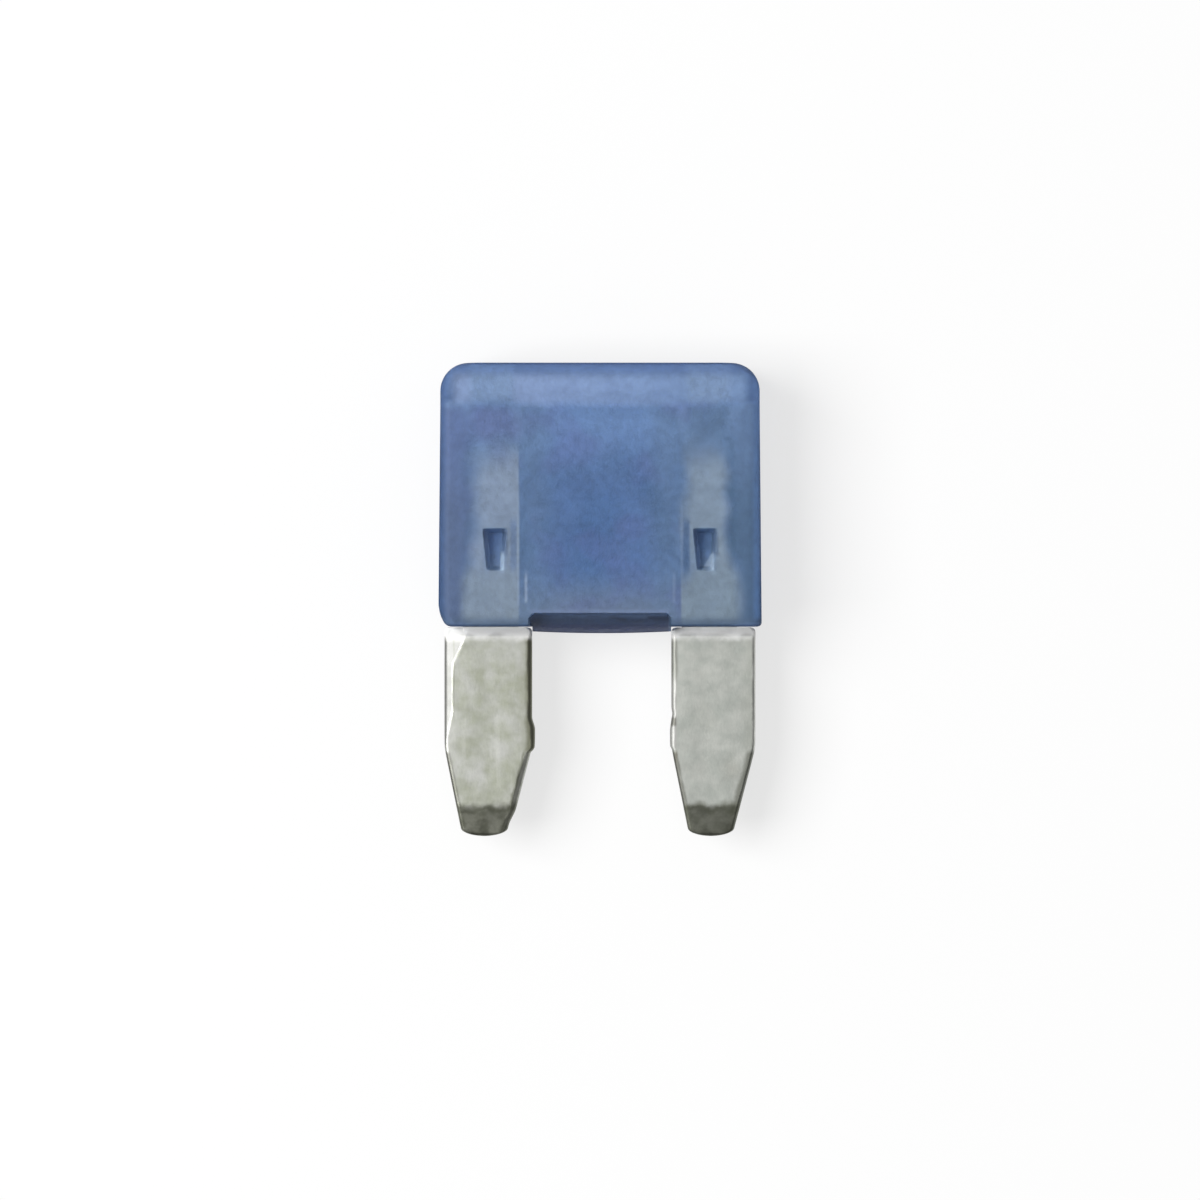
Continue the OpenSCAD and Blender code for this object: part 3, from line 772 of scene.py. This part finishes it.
def zinc_material():
    """Dull zinc in two cloudy tones, warmer on the left blade and smoother on the right one.

    A white painted highlight lies across the shoulders, and soft streaks run down the lower left blade. Both
    left edges have rougher bevels, and painted shade dims their rolled margins, the strip beside the left
    bevel, the right blade's upper left corner and a spot where its left edge's highlight breaks. Painted
    shade darkens the left blade's sheared right edge, the left taper's crease, both tapers' left rolls and
    the right taper's outer bevel, a painted highlight lightens the right blade's right edge, and the coined
    tips are darkest.
    """
    paint = Paint("dull_zinc")
    x, y = paint.x, paint.y
    ease, zone, within, product = paint.ease, paint.zone, paint.within, paint.product
    right_hand = ease(x, -0.5, 0.5)

    def by_side(left, right):
        """left on the left blade and right on the right one."""
        return paint.remap(right_hand, left, right)

    clouds = paint.cloud(0.6, detail=3.0)
    warm = paint.blend(clouds, (0.355, 0.37, 0.30), (0.445, 0.45, 0.425))
    cool = paint.blend(clouds, (0.385, 0.405, 0.375), (0.44, 0.45, 0.42))
    colour = paint.blend(right_hand, warm, cool)
    soft_streaks = ease(paint.cloud(0.22, detail=1.0, stretch=(1, 12, 5), shift=(2, 0, 0)), 0.5, 0.95)
    lower_left = product(ease(y, -2.6, -3.4), ease(y, -5.9, -5.0), by_side(0.3, 0.0))
    colour = zone(colour, (0.54, 0.545, 0.51), soft_streaks, lower_left)
    blotch = product(ease(paint.cloud(0.9, shift=(8, 1, 2)), 0.5, 1.0), by_side(0.15, 0.2))
    colour = zone(colour, (0.33, 0.345, 0.31), blotch)
    lower_cloud = product(within(x, 4.2, 4.75, 0.3), within(y, -5.1, -4.6, 0.25))
    colour = zone(colour, (0.34, 0.34, 0.30), lower_cloud, 0.4)
    brown_patch = product(within(x, 2.5, 2.62, 0.04), within(y, -4.6, -4.25, 0.1))
    colour = zone(colour, (0.25, 0.22, 0.16), brown_patch, 0.6)

    colour = paint.mottled(colour, 0.9, 1.1, paint.cloud(0.25, detail=4.0, shift=(1, 1, 9)), clouds)

    taper = product(paint.math("MAXIMUM", paint.math("SUBTRACT", TAPER_Y, y), 0.0), 1 / TAPER_LEN)
    corner_cut = product(ease(y, -6.15, -6.75), by_side(TIP_CUT, 0.0))
    right_edge = paint.math(
        "SUBTRACT", by_side(-LEFT_IN, BLADE_OUT), product(taper, TAPER_EACH_SIDE - TIP_LEAN)
    )
    right_edge = paint.math("SUBTRACT", right_edge, corner_cut)
    left_edge = paint.math(
        "ADD", by_side(-BLADE_OUT, RIGHT_IN), product(taper, TAPER_EACH_SIDE + TIP_LEAN)
    )
    jagged = paint.remap(paint.cloud(0.5, detail=2.0, shift=(2, 2, 2)), -0.03, 0.03)
    from_right = paint.math("ADD", paint.math("SUBTRACT", right_edge, x), jagged)
    from_left = paint.math("ADD", paint.math("SUBTRACT", x, left_edge), product(jagged, 0.4))

    facet_w = product(paint.math("MAXIMUM", paint.math("SUBTRACT", y, FACET_Y), 0.0), FACET_PAINT_SLOPE)
    bevel_w = paint.math("ADD", facet_w, product(ease(y, *LEFT_BEVEL_Y), LEFT_BEVEL_W))
    on_bevel = ease(paint.math("SUBTRACT", from_left, bevel_w), 0.0, -0.05)
    bevel_shade = paint.blend(clouds, (0.31, 0.31, 0.30), (0.38, 0.38, 0.37))
    colour = zone(colour, bevel_shade, on_bevel, by_side(0.9, 0.0))
    on_right_bevel = product(ease(from_left, 0.24, 0.16), by_side(0.0, 1.0))
    dulled = paint.math("MAXIMUM", product(on_bevel, by_side(1.0, 0.0)), on_right_bevel)
    # Painted shade over the rolled left edges, darker on the left blade, which dims the lamp's reflection
    # there.
    margin_w = by_side(0.09, 0.17)
    shaded_margin = ease(paint.math("SUBTRACT", from_left, margin_w), 0.03, -0.03)
    shaded_margin = product(shaded_margin, within(y, TAPER_Y, by_side(-0.4, -1.7), 0.15))
    margin_painted_shade = paint.blend(right_hand, (0.22, 0.22, 0.21), (0.40, 0.40, 0.385))
    colour = zone(colour, margin_painted_shade, shaded_margin, 0.85)
    # Painted shade at the right blade's upper left edge.
    painted_shade_corner = product(ease(from_left, 0.24, 0.16), ease(y, -2.1, -1.4))
    colour = zone(colour, (0.27, 0.275, 0.25), painted_shade_corner, by_side(0.0, 0.85))

    below_band = ease(y, -0.3, -0.5)
    # Painted shade: a dark line beside the left blade's bevel, in its upper part.
    shade_beside_bevel = product(within(from_left, 0.3, 0.34, 0.03), ease(y, -3.4, -2.9), by_side(0.5, 0.0))
    colour = zone(colour, (0.26, 0.27, 0.22), shade_beside_bevel, below_band)
    # Painted shade: a dark spot on the right blade's left edge, where its highlight breaks at the tie-bar
    # stub.
    highlight_break = product(within(from_left, -0.2, 0.16, 0.04), within(y, -3.36, -3.08, 0.06))
    colour = zone(colour, (0.16, 0.16, 0.14), highlight_break, by_side(0.0, 0.85))

    straight = ease(y, -4.35, -4.1)
    tapered = paint.math("SUBTRACT", 1.0, straight)
    # Painted shade along the right edges of the straight parts, strong on the left blade and faint on the
    # right, fading inwards.
    edge_w = by_side(0.19, 0.05)
    shaded_edge = ease(paint.math("DIVIDE", from_right, edge_w), 1.5, 0.6)
    colour = zone(colour, (0.10, 0.10, 0.065), shaded_edge, straight, below_band, by_side(0.88, 0.1))
    shade_beside_edge = product(ease(from_right, 0.6, 0.1), below_band, by_side(0.45, 0.12))
    colour = zone(colour, (0.22, 0.225, 0.17), shade_beside_edge, straight)
    # Painted highlight along the right blade's right edge.
    highlight_edge = product(ease(from_right, 0.13, 0.04), straight, below_band)
    colour = zone(colour, (0.80, 0.81, 0.77), highlight_edge, by_side(0.0, 0.7))
    # Painted shade over the rolled left edge of both tapers, which hides its highlight.
    shaded_taper_roll = product(ease(from_left, 0.2, 0.08), tapered)
    colour = zone(colour, (0.10, 0.10, 0.085), shaded_taper_roll, 0.85)
    # Painted shade: a dark streak in the left blade's taper, inside its right bevel.
    crease_shade = within(from_right, 0.18, 0.27, 0.05)
    colour = zone(colour, (0.13, 0.135, 0.10), crease_shade, tapered, by_side(0.7, 0.0))
    # Painted shade on the right blade's tapered right bevel.
    shaded_outer_band = ease(from_right, 0.36, 0.16)
    colour = zone(colour, (0.17, 0.175, 0.15), shaded_outer_band, tapered, by_side(0.0, 0.85))

    tip_line = paint.remap(paint.cloud(0.5, detail=2.0, shift=(5, 1, 1)), -0.12, 0.12)
    tip_y = paint.math("ADD", y, tip_line)
    tip_cloud = paint.cloud(0.4, detail=3.0, shift=(9, 3, 1))
    tip_shade = paint.blend(tip_cloud, (0.112, 0.116, 0.088), (0.24, 0.244, 0.204))
    tip_shade = zone(tip_shade, (0.10, 0.105, 0.085), by_side(0.0, 0.35))
    tip_shade = zone(tip_shade, (0.10, 0.105, 0.075), within(tip_y, -6.26, -6.08, 0.06), 0.5)
    tip_shade = zone(tip_shade, (0.05, 0.05, 0.037), ease(tip_y, -6.8, -7.15), 0.8)
    colour = zone(colour, tip_shade, ease(tip_y, -5.85, -6.2), 0.95)

    # Painted highlight: a white band across the shoulders just below the housing.
    band_end = paint.math("ADD", y, product(jagged, 2.0))
    shoulder_highlight = product(ease(band_end, -0.56, -0.2), ease(y, 0.05, -0.05))
    band_cloud = product(paint.cloud(0.35, shift=(1, 6, 3)), by_side(0.15, 0.3))
    shoulder_highlight_colour = paint.blend(band_cloud, (0.98, 0.98, 0.96), (0.62, 0.61, 0.58))
    colour = zone(colour, shoulder_highlight_colour, shoulder_highlight, 0.95)

    in_housing = ease(y, -0.02, 0.03)
    on_link = product(ease(paint.math("ABSOLUTE", x), 2.78, 2.7), in_housing)
    colour = zone(colour, (0.72, 0.74, 0.70), in_housing)
    colour = zone(colour, (0.42, 0.43, 0.42), on_link)

    roughness = paint.remap(paint.cloud(0.5, shift=(6, 6, 1)), 0.36, 0.48)
    roughness = paint.math("MAXIMUM", roughness, product(dulled, BEVEL_ROUGHNESS))
    # The painted shoulder highlight is not metallic.
    metal = paint.remap(shoulder_highlight, 1.0, 0.0)
    grain = paint.bump(paint.cloud(0.08, detail=2.0, stretch=(1, 1.6, 1)), 0.0008)
    shader = paint.add(
        "ShaderNodeBsdfPrincipled", Base_Color=colour, Roughness=roughness, Metallic=metal, Normal=grain
    )
    paint.join(shader.outputs[0], paint.output.inputs["Surface"])
    return paint.material


# Studio

def add_camera():
    """Looks straight down on the lying fuse, with the photo's framing."""
    camera_data = bpy.data.cameras.new("camera")
    camera_data.lens = LENS
    camera_data.sensor_width = SENSOR
    camera_data.clip_start = 0.01
    camera_data.clip_end = 5
    camera = bpy.data.objects.new("camera", camera_data)
    front_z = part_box("housing")[1].z
    camera.location = (0, 0, front_z + VIEW_WIDTH * LENS / SENSOR)
    bpy.context.scene.collection.objects.link(camera)
    bpy.context.scene.camera = camera


def add_softbox(name, location, side, power):
    """A square white area light that faces the fuse."""
    light = bpy.data.lights.new(name, "AREA")
    light.shape = "RECTANGLE"
    light.size = light.size_y = side
    light.energy = power
    lamp = bpy.data.objects.new(name, light)
    lamp.location = location
    lamp.rotation_euler = (Vector() - Vector(location)).to_track_quat("-Z", "Y").to_euler()
    bpy.context.scene.collection.objects.link(lamp)


def add_floor():
    half = FLOOR_SIDE / 2
    mesh = bpy.data.meshes.new("floor")
    corners = [(-half, -half, 0), (half, -half, 0), (half, half, 0), (-half, half, 0)]
    mesh.from_pydata(corners, [], [(0, 1, 2, 3)])
    floor = bpy.data.objects.new("floor", mesh)
    floor.data.materials.append(floor_material())
    bpy.context.scene.collection.objects.link(floor)


add_camera()
add_floor()
add_softbox("key", KEY_PLACE, KEY_SIDE, KEY_POWER)
add_softbox("overhead", OVERHEAD_PLACE, OVERHEAD_SIDE, OVERHEAD_POWER)

world = bpy.data.worlds.new("studio")
world.use_nodes = True
world.node_tree.nodes["Background"].inputs["Color"].default_value = (1, 1, 1, 1)
world.node_tree.nodes["Background"].inputs["Strength"].default_value = WORLD_STRENGTH
bpy.context.scene.world = world
bpy.context.scene.view_settings.view_transform = "Standard"

finish_piece(housing_shell(), "housing", plastic_material(), CREASE)
finish_piece(zinc_element(), "fuse_element", zinc_material(), CREASE)
